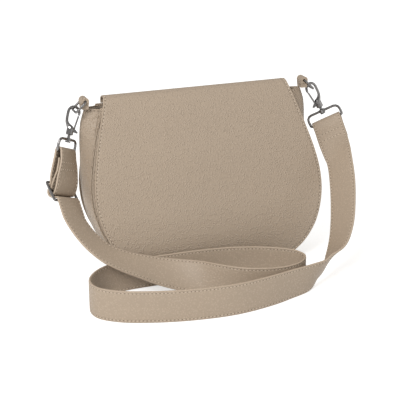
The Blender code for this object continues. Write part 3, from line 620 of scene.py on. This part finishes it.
strap_route = [
    ((-0.1366, -0.0240, 0.0720), (0.75, 0.63, -0.22)),
    ((-0.1316, -0.0340, 0.0615), (0.74, 0.65, -0.18)),
    ((-0.1236, -0.0430, 0.0510), (0.77, 0.61, -0.18)),
    ((-0.1126, -0.0498, 0.0418), (0.77, 0.61, -0.10)),
    ((-0.0994, -0.0535, 0.0348), (0.72, 0.68, 0.05)),
    ((-0.0834, -0.0562, 0.0280), (0.62, 0.74, 0.25)),
    ((-0.0666, -0.0580, 0.0216), (0.51, 0.70, 0.50)),
    ((-0.0497, -0.0620, 0.0174), (0.36, 0.55, 0.75)),
    ((-0.0330, -0.0700, 0.0155), (0.20, 0.35, 0.91)),
    ((-0.0190, -0.0820, 0.0154), (0.08, 0.12, 0.99)),
    ((-0.0020, -0.0948, 0.0153), (0.0, 0.0, 1.0)),
    ((0.0180, -0.1040, 0.0152), (0.0, 0.0, 1.0)),
    ((0.0390, -0.1065, 0.0152), (0.0, 0.0, 1.0)),
    ((0.0550, -0.1012, 0.0152), (0.0, 0.0, 1.0)),
    ((0.0648, -0.0885, 0.0152), (0.0, 0.0, 1.0)),
    ((0.0610, -0.0745, 0.0152), (0.0, 0.0, 1.0)),
    ((0.0420, -0.0595, 0.0152), (0.0, 0.0, 1.0)),
    ((0.0120, -0.0475, 0.0152), (0.0, 0.0, 1.0)),
    ((-0.0200, -0.0425, 0.0152), (0.0, 0.0, 1.0)),
    ((-0.0600, -0.0410, 0.0152), (0.0, 0.0, 1.0)),
    ((-0.0950, -0.0415, 0.0152), (0.0, 0.0, 1.0)),
    ((-0.1140, -0.0455, 0.0152), (0.0, 0.0, 1.0)),
    ((-0.1290, -0.0565, 0.0152), (0.0, 0.0, 1.0)),
    ((-0.1375, -0.0720, 0.0152), (0.0, 0.0, 1.0)),
    ((-0.1355, -0.0880, 0.0152), (0.0, 0.0, 1.0)),
    ((-0.1210, -0.1020, 0.0152), (0.0, 0.0, 1.0)),
    ((-0.0950, -0.1135, 0.0152), (0.0, 0.0, 1.0)),
    ((-0.0600, -0.1225, 0.0152), (0.0, 0.0, 1.0)),
    ((-0.0200, -0.1260, 0.0152), (0.0, 0.0, 1.0)),
    ((0.0160, -0.1210, 0.0152), (0.0, -0.02, 1.0)),
    ((0.0400, -0.1145, 0.0152), (-0.06, -0.10, 0.99)),
    ((0.0620, -0.1080, 0.0155), (-0.15, -0.27, 0.95)),
    ((0.0750, -0.1015, 0.0180), (-0.33, -0.66, 0.68)),
    ((0.0845, -0.0960, 0.0215), (-0.38, -0.76, 0.53)),
    ((0.0930, -0.0905, 0.0270), (-0.22, -0.92, 0.31)),
    ((0.1015, -0.0850, 0.0350), (0.05, -0.97, 0.23)),
    ((0.1096, -0.0760, 0.0470), (0.22, -0.95, 0.21)),
    ((0.1177, -0.0620, 0.0627), (0.34, -0.90, 0.26)),
    ((0.1255, -0.0440, 0.0823), (0.41, -0.87, 0.29)),
    ((0.1302, -0.0260, 0.1007), (0.47, -0.79, 0.38)),
]


def hanging(name):
    """One side's bail bar, and its ways: up to the ring, along the bar, down the strap, to the rear."""
    side, *ways = hang[name]
    up, along, down = (Vector(way).normalized() for way in ways)
    along = (along - up * along.dot(up)).normalized()
    down = (down - along * down.dot(along)).normalized()
    tab = Vector((side * TAB_PLACE[0], *TAB_PLACE[1:]))
    ring = tab + Vector((side * math.sin(RING_TILT), 0.0, -math.cos(RING_TILT))) * RING_LENGTH
    return ring - up * RING_TO_BAIL, along, down, along.cross(down)


def arc(centre, radius, start, end):
    """Points round a bar, from one turn to another."""
    turns = [start + (end - start) * step / ARC_STEPS for step in range(ARC_STEPS + 1)]
    return [(centre[0] + radius * math.sin(turn), centre[1] + radius * math.cos(turn)) for turn in turns]


def turned(name, low):
    """The ways along the strap's width and to its rear at a distance down from its bail."""
    _, along, down, rear = hanging(name)
    tip = SLIDER_DROP * TIP_SHARE
    share = min(max((low - tip) / (SLIDER_DROP - SLIDER_REACH - tip), 0.0), 1.0)
    twist = Matrix.Rotation(SLIDER_TWIST * share if name == "left" else 0.0, 3, down)
    return twist @ along, twist @ rear


def laid(name, path):
    """Points of one end of the strap, each with the way its width lies."""
    bar, _, down, _ = hanging(name)
    found = []
    for low, back in path:
        along, rear = turned(name, low)
        found.append((*(bar + down * low + rear * back), *along))
    return found


def between(one, other, share):
    """A row at a share of the way from one row to another."""
    return tuple(low + (high - low) * share for low, high in zip(one, other))


def smoothed(rows, steps):
    """The rows with more rows between them, on the smooth curve through them all."""
    ends = [between(rows[1], rows[0], 2), *rows, between(rows[-2], rows[-1], 2)]
    found = []
    for index in range(len(rows) - 1):
        four = ends[index : index + 4]
        knots = [0.0]
        for one, other in zip(four, four[1:]):
            knots.append(knots[-1] + math.sqrt(math.dist(one[:3], other[:3])))
        for step in range(steps):
            at = knots[1] + step / steps * (knots[2] - knots[1])
            shares = [(at - knots[i]) / (knots[i + 1] - knots[i]) for i in range(3)]
            level = [between(four[i], four[i + 1], shares[i]) for i in range(3)]
            shares = [(at - knots[i]) / (knots[i + 2] - knots[i]) for i in range(2)]
            level = [between(level[i], level[i + 1], shares[i]) for i in range(2)]
            found.append(between(*level, (at - knots[1]) / (knots[2] - knots[1])))
    return [*found, rows[-1]]


round_bar = BAR + PLAY + STRAP_SHEET / 2
layer = STRAP_SHEET + PLAY
low_bar = (SLIDER_DROP + SLIDER_REACH * math.cos(SLIDER_TILT), -SLIDER_REACH * math.sin(SLIDER_TILT))
inner = -low_bar[1] - round_bar
high = 2 * SLIDER_DROP - low_bar[0]
left_end = [
    *((SLIDER_DROP * share, layer - round_bar - FRONT_BOW * bow) for share, bow in bows[1:4]),
    (SLIDER_DROP - SLIDER_REACH, layer - round_bar),
    *arc((SLIDER_DROP, 0.0), round_bar, math.radians(-17), math.radians(163)),
    *((SLIDER_DROP * share, -round_bar - FRONT_BOW * bow) for share, bow in reversed(bows)),
    *arc((0.0, 0.0), round_bar, math.pi, math.tau),
    *((high * share, round_bar + (inner - round_bar) * share + REAR_BOW * bow) for share, bow in bows),
    (high, inner),
    *arc((SLIDER_DROP, 0.0), round_bar + layer, math.radians(-18), math.pi / 2),
    *arc(low_bar, round_bar, -math.pi / 2, math.radians(-135)),
]
half_layer = layer / 2
right_end = [
    (END_LENGTH, -half_layer),
    (CLOSED_LENGTH, -half_layer),
    *arc((0.0, 0.0), round_bar, math.pi, math.tau),
    *((low, half_layer) for low in (CLOSED_LENGTH, (CLOSED_LENGTH + END_LENGTH) / 2, END_LENGTH)),
]
left_rows = laid("left", left_end)
right_rows = laid("right", right_end)
free_rows = [(*point, *way) for point, way in strap_route]
free_rows = smoothed([*left_rows[-2:], *free_rows, *right_rows[:2]], RUN_STEPS)
strap_rows = left_rows + free_rows[2 * RUN_STEPS : -2 * RUN_STEPS] + right_rows


def even_rows(rows, pitch):
    """The same run with its rows a pitch apart."""
    table = np.array(rows)
    way = np.concatenate([[0.0], np.cumsum(np.linalg.norm(np.diff(table[:, :3], axis=0), axis=1))])
    count = round(way[-1] / pitch)
    even = np.linspace(0.0, way[-1], count + 1)
    return [tuple(np.interp(at, way, table[:, i]) for i in range(6)) for at in even]


strap_rows = even_rows(strap_rows, ROW_PITCH)


def strap_frames(rows):
    """At each row its point, and its unit ways across the strap and out of its face."""
    found = []
    for index, row in enumerate(rows):
        before, after = rows[max(index - 1, 0)], rows[min(index + 1, len(rows) - 1)]
        way = (Vector(after[:3]) - Vector(before[:3])).normalized()
        across = Vector(row[3:])
        across = (across - way * across.dot(way)).normalized()
        found.append((Vector(row[:3]), across, way.cross(across).normalized()))
    return found


frames = strap_frames(strap_rows)

# Half the strap's cross-section, from the middle of its face to its turned edge: shares of its half
# width and half thickness. The face dips a little where the seam pulls it in.
section_shares = [
    (0.00, 0.97), (0.30, 0.97), (0.55, 0.96), (0.74, 0.94), (0.815, 0.86), (0.855, 0.78), (0.895, 0.86),
    (0.935, 0.92), (0.965, 0.82), (0.988, 0.55), (1.00, 0.00),
]
right_face = section_shares + [(x, -y) for x, y in section_shares[-2::-1]]
section = right_face + [(-x, y) for x, y in right_face[-2:0:-1]]


def lay_band(name, frames, section, half_width, half_sheet):
    """A closed band swept through its frames, with a map of its width and length and how far its edge is."""
    work = bmesh.new()
    columns = len(section)
    rows = len(frames) - 1
    edge = work.verts.layers.float.new("edge")
    made = bmesh.ops.create_grid(work, x_segments=columns, y_segments=rows, size=1, calc_uvs=False)
    for vert in made["verts"]:
        column = round((vert.co.x + 1) / 2 * columns) % columns
        vert[edge] = (1 - abs(section[column][0])) * half_width
        row = round((1 - vert.co.y) / 2 * rows)
        point, across, out = frames[row]
        share = section[column]
        vert.co = point + across * share[0] * half_width + out * share[1] * half_sheet
    work.verts.ensure_lookup_table()
    lengths = {vert: index // (columns + 1) for index, vert in enumerate(made["verts"])}
    places = {vert: index % (columns + 1) for index, vert in enumerate(made["verts"])}
    layer = work.loops.layers.uv.new("width_and_length")
    wide = [0.0]
    for one, other in zip(section, [*section[1:], section[0]]):
        wide.append(wide[-1] + math.hypot((other[0] - one[0]) * half_width, (other[1] - one[1]) * half_sheet))
    for face in work.faces:
        for loop in face.loops:
            loop[layer].uv = (wide[places[loop.vert]], lengths[loop.vert] * ROW_PITCH)
    bmesh.ops.remove_doubles(work, verts=work.verts, dist=SAME_PLACE)
    bmesh.ops.holes_fill(work, edges=work.edges, sides=0)
    bmesh.ops.recalc_face_normals(work, faces=work.faces)
    thing = made_object(name, work)
    thing.data.shade_smooth()
    thing.data.set_sharp_from_angle(angle=math.radians(60))
    return thing


strap = lay_band("shoulder_strap", frames, section, STRAP_WIDTH / 2, STRAP_SHEET / 2)
strap_leather = pebbled_leather(
    "strap_leather", TAUPE, STRAP_GRAIN, STRAP_GRAIN_DEPTH, map_name="width_and_length"
)
strap.data.materials.append(strap_leather)
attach(strap, "bag")
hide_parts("strap")


def strap_seam(side, face):
    """A seam near one edge of the strap, on one of its faces."""
    aside = STRAP_WIDTH / 2 * SEAM_SHARE * side
    lift = STRAP_SHEET / 2 * SEAM_LIFT
    return [(point + across * aside + out * face * lift, out * face) for point, across, out in frames[2:-2]]


def cross_seam(low, back, face, name="left"):
    """A seam across one layer of the strap, at a place down and to the rear of its bail bar."""
    bar, _, down, _ = hanging(name)
    along, rear = turned(name, low)
    middle = bar + down * low + rear * (back + face * STRAP_SHEET / 2 * CROSS_SEAM_LIFT)
    return [(middle + along * STRAP_WIDTH / 2 * share, rear * face) for share in CROSS_SEAM_REACH]


strap_seams = [strap_seam(side, face) for side in (-1, 1) for face in (-1, 1)]
for low, bow in LEFT_CROSS_SEAMS:
    strap_seams.append(cross_seam(low, -round_bar - FRONT_BOW * bow, -1))
for low in RIGHT_CROSS_SEAMS:
    strap_seams += [cross_seam(low, face * half_layer, face, "right") for face in (-1, 1)]
strap_stitches, strap_hole_shade = stitched("strap", strap_seams, "bag")


# The slider: a flat nickel frame with a middle bar. The strap's left end is folded round the bar, and
# moving the frame along the strap sets its length.
for node in ("slider_frame", "slider_bar"):
    refinish(node, nickel)
